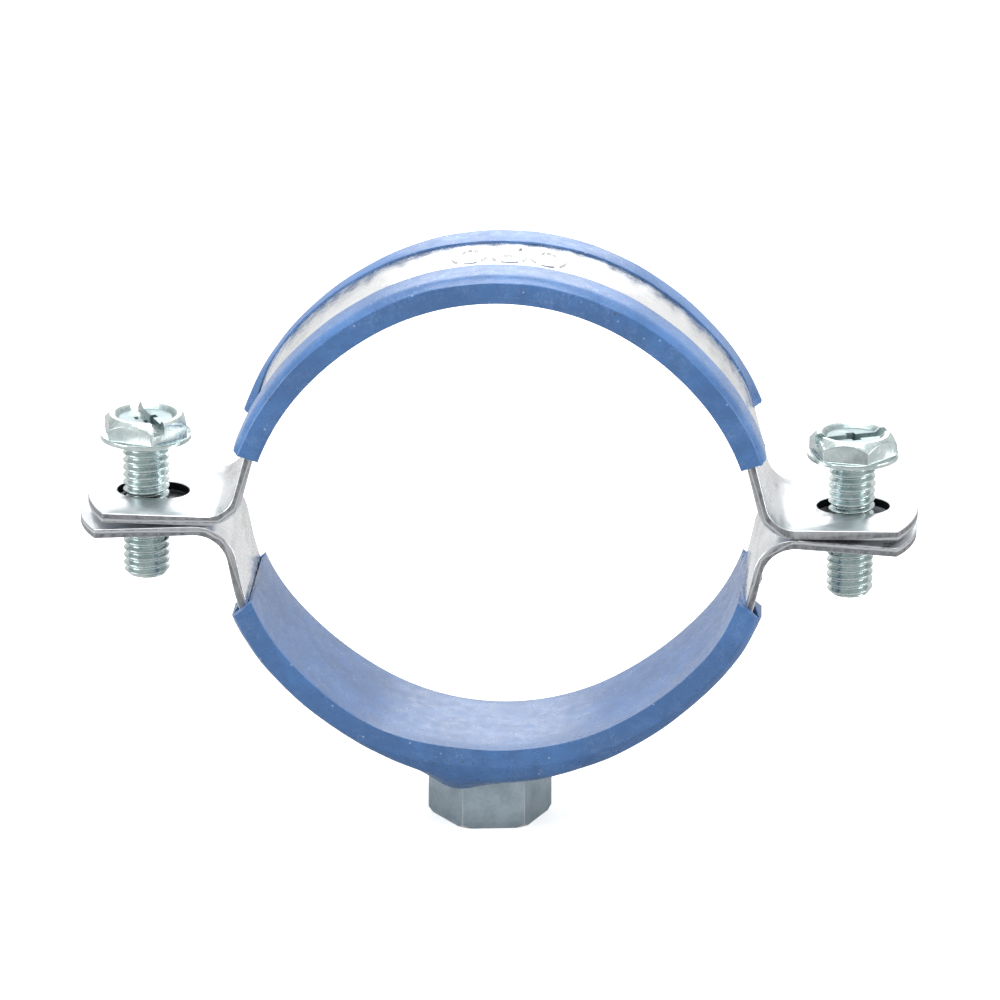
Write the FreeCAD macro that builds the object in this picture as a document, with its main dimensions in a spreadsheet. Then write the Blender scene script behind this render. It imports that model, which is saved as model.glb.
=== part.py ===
# Rubber lined pipe clamp: two bent steel half rings with blue rubber linings, a hexagon connection nut
# under the lower one and two screws that draw their ears together.
# Frame: Z up, Y along the pipe, origin on the pipe's axis at the lower half's seat. Lengths in mm.
import FreeCAD, Part

import os

import Sketcher
from FreeCAD import Placement, Rotation, Vector

doc = FreeCAD.newDocument("pipe_clamp")
sheet = doc.addObject("Spreadsheet::Sheet", "sizes")

Y_AXIS = Vector(0, 1, 0)
Z_AXIS = Vector(0, 0, 1)
# a sketch that stands across the pipe, X along the pipe and Y upwards
ACROSS = Rotation(Vector(0, 1, 0), Vector(0, 0, 1), Vector(1, 0, 0), "ZXY")
# a sketch that faces the front, X to the right and Y upwards
FRONT = Rotation(Vector(1, 0, 0), Vector(0, 0, 1), Vector(0, -1, 0), "ZXY")

# driving dimensions; angles in degrees
DRIVING = {
    # inner face of the linings: three tangent arcs each side of the crown
    "lower_seat_radius": 30.7,
    "upper_seat_ease": 0.35,
    "seat_angle": 30.0,
    "flank_angle": 20.0,
    "end_angle": 20.0,
    "lower_flank_ease": 12.5,
    "lower_end_tighten": 5.8,
    "upper_flank_ease": 6.0,
    "upper_end_tighten": 0.1,
    # steel strip, whose flanks and ends curve more than the lining's inner face
    "strip_width": 20.0,
    "strip_thickness": 1.2,
    "lower_strip_flank_ease": 6.6,
    "lower_strip_end_tighten": 5.4,
    "lower_strip_end_angle": 8.7,
    "upper_strip_flank_ease": 6.1,
    "upper_strip_end_tighten": 13.8,
    "upper_strip_end_angle": 5.6,
    "lower_bend_radius": 4.3,
    "upper_bend_radius": 3.7,
    "ear_length": 15.55,
    "upper_ear_trim": 0.5,
    "ear_end_radius": 20.0,
    "lower_ear_splay": 3.2,
    "upper_ear_splay": 0.8,
    "slot_length": 9.4,
    "slot_width": 6.6,
    "slot_inwards": 0.35,
    # rubber lining
    "wall_thickness": 1.8,
    "side_thickness": 1.15,
    "lining_play": 0.05,
    "lip_opening": 10.0,
    "lip_thickness": 0.5,
    "shoulder_drop": 0.35,
    "lip_knee_in": 1.4,
    "lip_knee_rise": 0.32,
    # sides of the lower lining at the crown, where the nut pushes its lips out
    "flare_flat_angle": 6.0,
    "flare_root_in": 0.55,
    "flare_root_sunk": 0.06,
    "flare_corner_in": 1.0,
    "flare_shoulder_in": 0.5,
    "flare_shoulder_rise": 1.4,
    "flare_knee_in": 0.3,
    "flare_knee_rise": 0.15,
    "flare_tip_in": 2.4,
    "flare_tip_rise": 2.45,
    # how the upper half lies on the lower one
    "upper_shift": 0.58,
    "ear_gap": 0.15,
    # connection nut
    "nut_offset": -0.7,
    "nut_across_flats": 14.0,
    "nut_height": 8.05,
    "nut_turn": 6.5,
    "nut_thread_minor": 6.64,
    "nut_mouth_chamfer": 0.7,
    "nut_corner_cut": 0.5,
    "weld_gap": 0.02,
    # screws
    "screw_from_ear_end": 8.5,
    "screw_diameter": 6.0,
    "screw_length": 18.6,
    "screw_tip_chamfer": 0.7,
    "screw_hole_clearance": 0.05,
    "right_rest_height": 8.2,
    "left_rest_higher": 0.45,
    "rim_diameter": 11.8,
    "rim_thickness": 0.6,
    "head_across_flats": 10.0,
    "head_height": 3.25,
    "head_top_diameter": 9.3,
    "head_chamfer": 1.3,
    "dish_diameter": 8.2,
    "dish_floor_diameter": 6.8,
    "dish_depth": 0.6,
    "slot_cut_width": 1.6,
    "slot_cut_depth": 1.5,
    "cross_width": 1.1,
    "cross_length": 3.0,
    "cross_depth": 1.9,
    "left_head_turn": -18.0,
    "left_slot_turn": -66.0,
    "right_head_turn": -10.8,
    "right_slot_turn": 20.6,
}


def sine(angle):
    return "sin((%s) * 1 deg)" % angle


def cosine(angle):
    return "cos((%s) * 1 deg)" % angle


# sizes worked out from the driving ones
DERIVED = {
    "upper_seat_radius": "lower_seat_radius + upper_seat_ease",
    "flank_end_angle": "seat_angle + flank_angle",
    "lining_end_angle": "flank_end_angle + end_angle",
    "strip_inside": "wall_thickness + lining_play",
    "strip_outside": "strip_inside + strip_thickness",
    "channel_top": "strip_outside + lining_play",
    "channel_half": "strip_width / 2 + lining_play",
    "lining_half": "channel_half + side_thickness",
    "lip_edge": "lip_opening / 2",
    "lip_top": "channel_top + lip_thickness",
    "shoulder": "channel_top - shoulder_drop",
    "knee_edge": "lining_half - lip_knee_in",
    "knee_top": "channel_top + lip_knee_rise",
    "ridge_top": "lip_top + (lip_top - knee_top) * lip_edge / (knee_edge - lip_edge)",
    "opening_floor": "(wall_thickness + channel_top) / 2",
    "opening_top": "ridge_top + lip_thickness",
    "floor_half": "strip_width / 2 - lining_play",
    "run_out": "strip_width / 4",
}


def arcs_of(line):
    """Radii and centres of a line's three arcs: a half's lining on its inner face, or its strip on its own."""
    change = "(%s_flank_ease + %s_end_tighten)" % (line, line)
    return {
        line + "_flank_radius": "%s_seat_radius + %s_flank_ease" % (line, line),
        line + "_end_radius": "%s_seat_radius - %s_end_tighten" % (line, line),
        line + "_flank_x": "-%s_flank_ease * %s" % (line, sine("seat_angle")),
        line + "_flank_up": "-%s_flank_ease * %s" % (line, cosine("seat_angle")),
        line + "_end_x": "%s_flank_x + %s * %s" % (line, change, sine("flank_end_angle")),
        line + "_end_up": "%s_flank_up + %s * %s" % (line, change, cosine("flank_end_angle")),
    }


def bend_of(half):
    """Centre of the bend between the strip's straight leg and its ear. The bend's outer side touches the
    plane between the halves, and the leg is tangent to the strip's end arc."""
    leg = half + "_leg_angle"
    strip = half + "_strip"
    bend = half + "_outer_bend"
    return {
        leg: "lining_end_angle + %s_end_angle" % strip,
        bend: half + "_bend_radius + strip_thickness",
        half + "_leg_x": "%s_end_x + %s_end_radius * %s" % (strip, strip, sine(leg)),
        half + "_leg_up": "%s_end_up + %s_end_radius * %s" % (strip, strip, cosine(leg)),
        half + "_leg_drop": "%s_leg_up - %s + %s * %s" % (half, bend, bend, cosine(leg)),
        half + "_bend_x": "%s_leg_x + %s_leg_drop / tan(%s * 1 deg) + %s * %s" % (
            half, half, leg, bend, sine(leg)
        ),
    }


def arc_points(line, offset, end_angle):
    """Joints of a line's three arcs at an offset outwards from it."""
    return {
        "seat_end": (
            "(%s_seat_radius + %s) * %s" % (line, offset, sine("seat_angle")),
            "(%s_seat_radius + %s) * %s" % (line, offset, cosine("seat_angle")),
        ),
        "flank_end": (
            "%s_flank_x + (%s_flank_radius + %s) * %s" % (line, line, offset, sine("flank_end_angle")),
            "%s_flank_up + (%s_flank_radius + %s) * %s" % (line, line, offset, cosine("flank_end_angle")),
        ),
        "arc_end": (
            "%s_end_x + (%s_end_radius + %s) * %s" % (line, line, offset, sine(end_angle)),
            "%s_end_up + (%s_end_radius + %s) * %s" % (line, line, offset, cosine(end_angle)),
        ),
    }


def point_cells(name, crown, points):
    """Cells for a chain of points, named after it."""
    cells = {name + "_crown_up": crown}
    for point_name, (across, up) in points.items():
        cells["%s_%s_x" % (name, point_name)] = across
        cells["%s_%s_up" % (name, point_name)] = up
    return cells


def strip_face(half, face, offset):
    """Corner points of the inside or outside face of one half's strip."""
    name = half + "_" + face
    leg = half + "_leg_angle"
    splay = half + "_ear_splay"
    corner = "(%s_outer_bend - %s)" % (half, offset)
    points = arc_points(half + "_strip", offset, leg)
    points["leg_end"] = (
        "%s_bend_x - %s * %s" % (half, corner, sine(leg)),
        "%s_outer_bend - %s * %s" % (half, corner, cosine(leg)),
    )
    points["ear_start"] = (
        "%s_bend_x + %s * %s" % (half, corner, sine(splay)),
        "%s_outer_bend - %s * %s" % (half, corner, cosine(splay)),
    )
    points["ear_tip"] = (
        "%s_ear_end - %s * %s" % (half, offset, sine(splay)),
        "%s_ear_start_up + (%s_ear_tip_x - %s_ear_start_x) * tan(%s * 1 deg)" % (name, name, name, splay),
    )
    return point_cells(name, "%s_strip_seat_radius + %s" % (half, offset), points)


def cut_face(name, line, offset, end_angle):
    """Corner points of one face of a cut along a line, run out straight beyond the lining's end."""
    points = arc_points(line, offset, end_angle)
    points["run_out"] = (
        "%s_arc_end_x + run_out * %s" % (name, cosine(end_angle)),
        "%s_arc_end_up - run_out * %s" % (name, sine(end_angle)),
    )
    return point_cells(name, "%s_seat_radius + %s" % (line, offset), points)


for half in ("lower", "upper"):
    DERIVED[half + "_strip_seat_radius"] = half + "_seat_radius + strip_inside"
    DERIVED.update(arcs_of(half))
    DERIVED.update(arcs_of(half + "_strip"))
    DERIVED.update(bend_of(half))
DERIVED["lower_ear_reach"] = "lower_bend_x + ear_length"
DERIVED["upper_ear_reach"] = "lower_ear_reach - upper_ear_trim"
for half in ("lower", "upper"):
    # the strip is made longer than its ear, whose rounded end is then cut
    DERIVED[half + "_ear_end"] = half + "_ear_reach + strip_width / 4"
    DERIVED[half + "_ear_end_centre"] = half + "_ear_reach - ear_end_radius"
    DERIVED.update(strip_face(half, "inside", "0"))
    DERIVED.update(strip_face(half, "outside", "strip_thickness"))
    DERIVED.update(cut_face(half + "_channel_floor", half + "_strip", "(-lining_play)", half + "_leg_angle"))
    for face in ("channel_top", "opening_floor", "opening_top"):
        DERIVED.update(cut_face("%s_%s" % (half, face), half, face, "lining_end_angle"))
DERIVED.update({
    "nut_top_radius": "lower_seat_radius + strip_outside + weld_gap",
    "nut_bottom": "lower_seat_radius + strip_outside + nut_height",
    "nut_corner_radius": "nut_across_flats / sqrt(3)",
    "screw_spread": "lower_ear_reach - screw_from_ear_end",
    "screw_hole_radius": "screw_diameter / 2 + screw_hole_clearance",
    "head_corner_radius": "head_across_flats / sqrt(3)",
    "screw_tip": "-screw_length",
    "shank_radius": "screw_diameter / 2",
    "tip_radius": "shank_radius - screw_tip_chamfer",
    "tip_chamfer_top": "screw_tip + screw_tip_chamfer",
    "rim_radius": "rim_diameter / 2",
    "head_top_radius": "head_top_diameter / 2",
    "head_chamfer_start": "head_height - head_chamfer",
    "dish_radius": "dish_diameter / 2",
    "dish_floor_radius": "dish_floor_diameter / 2",
    "dish_floor": "head_height - dish_depth",
    "slot_spread": "screw_spread - slot_inwards",
    "left_rest_height": "right_rest_height + left_rest_higher",
})

row = 0
for alias, number in DRIVING.items():
    row += 1
    sheet.set("A%d" % row, str(number))
    sheet.setAlias("A%d" % row, alias)
for alias, formula in DERIVED.items():
    row += 1
    sheet.set("A%d" % row, "=" + formula)
    sheet.setAlias("A%d" % row, alias)
doc.recompute()


def size(alias):
    return float(sheet.get(alias))


def bind(obj, **expressions):
    """Ties properties to cells; a double underscore in a name stands for a dot."""
    for name, expression in expressions.items():
        obj.setExpression(name.replace("__", "."), expression)


def cell(text):
    """A sketch coordinate as text: a cell's alias, with a minus sign where it lies on the other side."""
    if text == "zero":
        return "0"
    if text.startswith("-"):
        return "-sizes." + text[1:]
    return "sizes." + text


def value(text):
    if text == "zero":
        return 0.0
    if text.startswith("-"):
        return -size(text[1:])
    return size(text)


def fix_point(sketch, edge, end, across, up):
    """Holds one end of an edge at cells; a zero holds it on the sketch's own axis."""
    for kind, text, axis in (("DistanceX", across, -2), ("DistanceY", up, -1)):
        if text == "zero":
            sketch.addConstraint(Sketcher.Constraint("PointOnObject", edge, end, axis))
        else:
            index = sketch.addConstraint(Sketcher.Constraint(kind, -1, 1, edge, end, value(text)))
            sketch.setExpression("Constraints[%d]" % index, cell(text))


def outline(sketch, points, arcs=None):
    """Closed outline through points whose coordinates are cells. arcs maps the number of an edge to its
    centre and an expression for its radius."""
    arcs = arcs or {}
    count = len(points)
    ends = []
    for edge in range(count):
        start = Vector(value(points[edge][0]), value(points[edge][1]), 0)
        finish = Vector(value(points[(edge + 1) % count][0]), value(points[(edge + 1) % count][1]), 0)
        if edge not in arcs:
            sketch.addGeometry(Part.LineSegment(start, finish), False)
            ends.append((1, 2))
            continue
        centre = Vector(arcs[edge][0], arcs[edge][1], 0)
        middle = (start + finish) * 0.5 - centre
        middle = centre + middle * ((start - centre).Length / middle.Length)
        # an arc is stored anticlockwise, so its ends change places where the outline runs the other way
        anticlockwise = (start - centre).cross(finish - centre).z > 0
        if anticlockwise:
            sketch.addGeometry(Part.Arc(start, middle, finish), False)
            ends.append((1, 2))
        else:
            sketch.addGeometry(Part.Arc(finish, middle, start), False)
            ends.append((2, 1))
    for edge in range(count):
        sketch.addConstraint(
            Sketcher.Constraint("Coincident", (edge - 1) % count, ends[edge - 1][1], edge, ends[edge][0])
        )
        fix_point(sketch, edge, ends[edge][0], *points[edge])
    for edge, (_, _, radius) in arcs.items():
        index = sketch.addConstraint(Sketcher.Constraint("Radius", edge, sketch.Geometry[edge].Radius))
        sketch.setExpression("Constraints[%d]" % index, radius)


def origin_plane(body, role):
    for feature in body.Origin.OriginFeatures:
        if feature.Role == role:
            return feature
    raise LookupError(role)


def body_sketch(body, name, role):
    sketch = body.newObject("Sketcher::SketchObject", name)
    sketch.AttachmentSupport = [(origin_plane(body, role), "")]
    sketch.MapMode = "FlatFace"
    return sketch


def cut_through(body, sketch, name):
    pocket = body.newObject("PartDesign::Pocket", name)
    pocket.Profile = sketch
    pocket.Type = "ThroughAll"
    pocket.Midplane = True
    return pocket


def arcs_along(line, offset, edges):
    """Centres and radii of a line's seat, flank and end arcs at an offset, for the three edges named."""
    radius = "sizes." + line + "_%s_radius + " + offset
    return {
        edges[0]: (0, 0, radius % "seat"),
        edges[1]: (size(line + "_flank_x"), size(line + "_flank_up"), radius % "flank"),
        edges[2]: (size(line + "_end_x"), size(line + "_end_up"), radius % "end"),
    }


def strip_profile(sketch, half):
    """Right side of one half's strip: inner face from the crown to the ear's tip, back along the outer
    face."""
    names = ("seat_end", "flank_end", "arc_end", "leg_end", "ear_start", "ear_tip")
    inside = half + "_inside_"
    outside = half + "_outside_"
    points = [("zero", inside + "crown_up")]
    points += [(inside + name + "_x", inside + name + "_up") for name in names]
    points += [(outside + name + "_x", outside + name + "_up") for name in reversed(names)]
    points += [("zero", outside + "crown_up")]
    bend = (size(half + "_bend_x"), size(half + "_outer_bend"))
    arcs = {
        4: (*bend, "sizes.%s_outer_bend" % half),
        8: (*bend, "sizes.%s_bend_radius" % half),
    }
    arcs.update(arcs_along(half + "_strip", "0", (0, 1, 2)))
    arcs.update(arcs_along(half + "_strip", "sizes.strip_thickness", (12, 11, 10)))
    outline(sketch, points, arcs)


def ear_end_cut(sketch, half_ring):
    """Everything beyond the ear's rounded end, wider than the strip."""
    radius = "sizes.ear_end_radius"
    reach = size("ear_end_radius")
    half = size("strip_width") * 0.55
    run = (reach**2 - half**2) ** 0.5
    centre = Vector(size(half_ring + "_ear_end_centre"), 0, 0)
    low = centre + Vector(run, -half, 0)
    high = centre + Vector(run, half, 0)
    far = size(half_ring + "_ear_end") + size("strip_width") * 0.5
    sketch.addGeometry(Part.Arc(low, centre + Vector(reach, 0, 0), high), False)
    sketch.addGeometry(Part.LineSegment(high, Vector(far, half, 0)), False)
    sketch.addGeometry(Part.LineSegment(Vector(far, half, 0), Vector(far, -half, 0)), False)
    sketch.addGeometry(Part.LineSegment(Vector(far, -half, 0), low), False)
    for first, second in (((0, 2), (1, 1)), ((1, 2), (2, 1)), ((2, 2), (3, 1)), ((3, 2), (0, 1))):
        sketch.addConstraint(Sketcher.Constraint("Coincident", *first, *second))
    sketch.addConstraint(Sketcher.Constraint("Horizontal", 1))
    sketch.addConstraint(Sketcher.Constraint("Horizontal", 3))
    sketch.addConstraint(Sketcher.Constraint("Vertical", 2))
    sketch.addConstraint(Sketcher.Constraint("PointOnObject", 0, 3, -1))
    for kind, arguments, number, expression in (
        ("DistanceX", (-1, 1, 0, 3), centre.x, "sizes.%s_ear_end_centre" % half_ring),
        ("Radius", (0,), reach, radius),
        ("DistanceY", (-1, 1, 0, 2), half, "sizes.strip_width * 0.55"),
        ("DistanceY", (0, 1, -1, 1), half, "sizes.strip_width * 0.55"),
        ("DistanceX", (-1, 1, 2, 1), far, "sizes.%s_ear_end + sizes.strip_width * 0.5" % half_ring),
    ):
        index = sketch.addConstraint(Sketcher.Constraint(kind, *arguments, number))
        sketch.setExpression("Constraints[%d]" % index, expression)


def slot_shape(sketch):
    """Slot along the ear, centred a little nearer the ring than the screw's place."""
    radius = size("slot_width") / 2
    half_run = size("slot_length") / 2 - radius
    middle = size("slot_spread")
    left = Vector(middle - half_run, 0, 0)
    right = Vector(middle + half_run, 0, 0)
    rise = Vector(0, radius, 0)
    sketch.addGeometry(Part.Arc(right - rise, right + Vector(radius, 0, 0), right + rise), False)
    sketch.addGeometry(Part.Arc(left + rise, left - Vector(radius, 0, 0), left - rise), False)
    sketch.addGeometry(Part.LineSegment(right + rise, left + rise), False)
    sketch.addGeometry(Part.LineSegment(left - rise, right - rise), False)
    for arc, arc_end, line, line_end in ((0, 2, 2, 1), (1, 1, 2, 2), (1, 2, 3, 1), (0, 1, 3, 2)):
        sketch.addConstraint(Sketcher.Constraint("Tangent", arc, arc_end, line, line_end))
    sketch.addConstraint(Sketcher.Constraint("Equal", 0, 1))
    sketch.addConstraint(Sketcher.Constraint("PointOnObject", 0, 3, -1))
    sketch.addConstraint(Sketcher.Constraint("PointOnObject", 1, 3, -1))
    half_gap = "(sizes.slot_length - sizes.slot_width) / 2"
    for kind, arguments, number, expression in (
        ("Radius", (0,), radius, "sizes.slot_width / 2"),
        ("DistanceX", (-1, 1, 0, 3), right.x, "sizes.slot_spread + " + half_gap),
        ("DistanceX", (-1, 1, 1, 3), left.x, "sizes.slot_spread - " + half_gap),
    ):
        index = sketch.addConstraint(Sketcher.Constraint(kind, *arguments, number))
        sketch.setExpression("Constraints[%d]" % index, expression)


def hole_shape(sketch):
    """Tapped hole of the lower ear, its thread left plain."""
    sketch.addGeometry(Part.Circle(Vector(size("screw_spread"), 0, 0), Z_AXIS, size("screw_hole_radius")), False)
    sketch.addConstraint(Sketcher.Constraint("PointOnObject", 0, 3, -1))
    index = sketch.addConstraint(Sketcher.Constraint("Radius", 0, size("screw_hole_radius")))
    sketch.setExpression("Constraints[%d]" % index, "sizes.screw_hole_radius")
    index = sketch.addConstraint(Sketcher.Constraint("DistanceX", -1, 1, 0, 3, size("screw_spread")))
    sketch.setExpression("Constraints[%d]" % index, "sizes.screw_spread")


def make_band(half, ear_opening):
    """Bent strip with two ears, crown upwards. ear_opening draws the slot or hole of the right ear."""
    name = half + "_band"
    body = doc.addObject("PartDesign::Body", name)
    body.Label = name
    profile = body_sketch(body, name + "_profile", "XZ_Plane")
    strip_profile(profile, half)
    pad = body.newObject("PartDesign::Pad", name + "_strip")
    pad.Profile = profile
    pad.Midplane = True
    bind(pad, Length="sizes.strip_width")
    end_sketch = body_sketch(body, name + "_ear_end", "XY_Plane")
    ear_end_cut(end_sketch, half)
    end_cut = cut_through(body, end_sketch, name + "_ear_end_cut")
    opening_sketch = body_sketch(body, name + "_ear_opening", "XY_Plane")
    ear_opening(opening_sketch)
    opening_cut = cut_through(body, opening_sketch, name + "_ear_opening_cut")
    mirror = body.newObject("PartDesign::Mirrored", name + "_both_sides")
    mirror.Originals = [pad, end_cut, opening_cut]
    mirror.MirrorPlane = (origin_plane(body, "YZ_Plane"), [""])
    body.Tip = mirror
    return body


def section_sketch(name, half, points):
    """Section of a lining across the pipe, at the crown; heights are measured from its inner face."""
    sketch = doc.addObject("Sketcher::SketchObject", name)
    sketch.Placement = Placement(Vector(0, 0, size(half + "_seat_radius")), ACROSS)
    bind(sketch, Placement__Base__z="sizes.%s_seat_radius" % half)
    outline(sketch, points)
    return sketch


def both_edges(points):
    """The same points on the other side of the middle, in reverse, to close a symmetric section."""
    return points + [("-" + across, up) for across, up in reversed(points)]


LIPPED_SECTION = both_edges([
    ("lining_half", "zero"),
    ("lining_half", "shoulder"),
    ("knee_edge", "knee_top"),
    ("lip_edge", "lip_top"),
    ("lip_edge", "channel_top"),
    ("channel_half", "channel_top"),
    ("channel_half", "wall_thickness"),
])
FLOOR_SECTION = both_edges([
    ("floor_half", "zero"),
    ("floor_half", "wall_thickness"),
])
# the lining's outer shape with its channel still filled, its lips' slopes run together over the middle
FILLED_SECTION = [
    ("lining_half", "zero"),
    ("lining_half", "shoulder"),
    ("knee_edge", "knee_top"),
    ("zero", "ridge_top"),
    ("-knee_edge", "knee_top"),
    ("-lining_half", "shoulder"),
    ("-lining_half", "zero"),
]


def revolved(name, half, stretch_name, section):
    """A stretch of lining of this stretch's radius, from the crown plane to the right."""
    stretch = doc.addObject("Part::Revolution", name)
    stretch.Source = section
    stretch.Axis = Y_AXIS
    stretch.Solid = True
    bind(
        stretch,
        Base__z="sizes.%s_seat_radius - sizes.%s_%s_radius" % (half, half, stretch_name),
        Angle="sizes.%s_angle" % stretch_name,
    )
    return stretch


def cut_along(name, floor, roof, floor_line, roof_line, roof_offset, half_width):
    """Cutter along the right side of a lining, between two chains of points, as wide as twice half_width."""
    names = ("seat_end", "flank_end", "arc_end", "run_out")
    points = [("zero", floor + "_crown_up")]
    points += [("%s_%s_x" % (floor, corner), "%s_%s_up" % (floor, corner)) for corner in names]
    points += [("%s_%s_x" % (roof, corner), "%s_%s_up" % (roof, corner)) for corner in reversed(names)]
    points += [("zero", roof + "_crown_up")]
    arcs = arcs_along(floor_line[0], floor_line[1], (0, 1, 2))
    arcs.update(arcs_along(roof_line, roof_offset, (8, 7, 6)))
    sketch = doc.addObject("Sketcher::SketchObject", name + "_profile")
    sketch.Placement = Placement(Vector(), FRONT)
    outline(sketch, points, arcs)
    cutter = doc.addObject("Part::Extrusion", name)
    cutter.Base = sketch
    cutter.DirMode = "Custom"
    cutter.Dir = Y_AXIS
    cutter.Solid = True
    bind(cutter, LengthFwd=half_width, LengthRev=half_width)
    return cutter


def make_lining(half, crown_section, extras=()):
    """Half ring of lining, crown upwards: seat, flank and end arcs to the right, mirrored to the left. Beyond
    the seat the strip's channel is cut along the strip's own line, so the wall gets thinner there."""
    name = half + "_liner"
    seat = revolved(name + "_seat", half, "seat", crown_section)
    filled = section_sketch(half + "_filled", half, FILLED_SECTION)
    flank = revolved(name + "_flank", half, "flank", filled)
    flank.Placement = Placement(Vector(), Rotation(Y_AXIS, size("seat_angle")))
    bind(flank, Placement__Rotation__Angle="sizes.seat_angle")
    end = revolved(name + "_end", half, "end", filled)
    end.Placement = Placement(Vector(), Rotation(Y_AXIS, size("flank_end_angle")))
    shift = "sizes." + half + "_flank_ease * (%s - %s)"
    bind(
        end,
        Placement__Rotation__Angle="sizes.flank_end_angle",
        Placement__Base__x=shift % (sine("sizes.flank_end_angle"), sine("sizes.seat_angle")),
        Placement__Base__z=shift % (cosine("sizes.flank_end_angle"), cosine("sizes.seat_angle")),
    )
    blank = doc.addObject("Part::MultiFuse", name + "_blank")
    blank.Shapes = [flank, end]
    cutters = doc.addObject("Part::MultiFuse", name + "_cutters")
    cutters.Shapes = [
        cut_along(
            name + "_channel", half + "_channel_floor", half + "_channel_top",
            (half + "_strip", "(-sizes.lining_play)"), half, "sizes.channel_top", "sizes.channel_half",
        ),
        cut_along(
            name + "_opening", half + "_opening_floor", half + "_opening_top",
            (half, "sizes.opening_floor"), half, "sizes.opening_top", "sizes.lip_edge",
        ),
    ]
    channelled = doc.addObject("Part::Cut", name + "_channelled")
    channelled.Base = blank
    channelled.Tool = cutters
    right = doc.addObject("Part::MultiFuse", name + "_right")
    right.Shapes = [seat, channelled] + list(extras)
    right.Refine = True
    left = doc.addObject("Part::Mirroring", name + "_left")
    left.Source = right
    left.Normal = Vector(1, 0, 0)
    lining = doc.addObject("Part::MultiFuse", name)
    lining.Shapes = [right, left]
    lining.Refine = True
    lining.Label = name
    return lining


FLARE_STATIONS = 6


def flare_share(station):
    """How far the lip is pushed out at a station: all the way near the crown, none at the seat's end."""
    angle = size("seat_angle") * station / FLARE_STATIONS
    run = (angle - size("flare_flat_angle")) / (size("seat_angle") - size("flare_flat_angle"))
    run = min(max(run, 0.0), 1.0)
    return 1.0 - run * run * (3.0 - 2.0 * run)


def flare_corners(share):
    """Section of the lining's side: sunk root, inner corner, shoulder, knee, lip and the channel's corner.
    The share blends from the plain section to the one that the nut spreads."""
    half = size("lining_half")
    channel = size("channel_half")
    root = size("floor_half") - size("flare_root_in")
    sunk = size("flare_root_sunk")
    top = size("channel_top")
    plain = [
        (root, sunk),
        (half, 0.0),
        (half, size("shoulder")),
        (size("knee_edge"), size("knee_top")),
        (size("lip_edge"), size("lip_top")),
        (size("lip_edge"), top),
        (channel, top),
        (channel, size("wall_thickness")),
        (root, size("wall_thickness") - sunk),
    ]
    tip = half - size("flare_tip_in")
    rise = top + size("flare_tip_rise")
    thin = size("lip_thickness")
    spread = [
        (root, sunk),
        (half - size("flare_corner_in"), sunk / 2),
        (half - size("flare_shoulder_in"), size("shoulder") - size("flare_shoulder_rise")),
        (half - size("flare_knee_in"), top + size("flare_knee_rise")),
        (tip, rise),
        (tip - 0.8 * thin, rise - 0.6 * thin),
        (channel + size("lining_play"), top + size("lining_play")),
        (channel, size("wall_thickness")),
        (root, size("wall_thickness") - sunk),
    ]
    return [
        (a[0] + share * (b[0] - a[0]), a[1] + share * (b[1] - a[1])) for a, b in zip(plain, spread)
    ]


def flare_section(name, station, side):
    """Closed sketch of the lining's side at a station between the crown and the seat's end."""
    corners = [(side * across, up) for across, up in flare_corners(flare_share(station))]
    sketch = doc.addObject("Sketcher::SketchObject", name)
    turn = Rotation(Y_AXIS, size("seat_angle") * station / FLARE_STATIONS)
    sketch.Placement = Placement(
        turn.multVec(Vector(0, 0, size("lower_seat_radius"))), turn.multiply(ACROSS)
    )
    count = len(corners)
    for edge in range(count):
        sketch.addGeometry(
            Part.LineSegment(Vector(*corners[edge], 0), Vector(*corners[(edge + 1) % count], 0)), False
        )
    for edge in range(count):
        sketch.addConstraint(Sketcher.Constraint("Coincident", edge, 2, (edge + 1) % count, 1))
    return sketch


def make_flared_sides():
    """The two sides of the lower lining between the crown and the seat's end, lofted through sections."""
    sides = []
    for side, word in ((1, "back"), (-1, "front")):
        loft = doc.addObject("Part::Loft", word + "_flared_side")
        loft.Sections = [
            flare_section("%s_flare_%d" % (word, station), station, side)
            for station in range(FLARE_STATIONS + 1)
        ]
        loft.Solid = True
        loft.Ruled = False
        sides.append(loft)
    return sides


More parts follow.
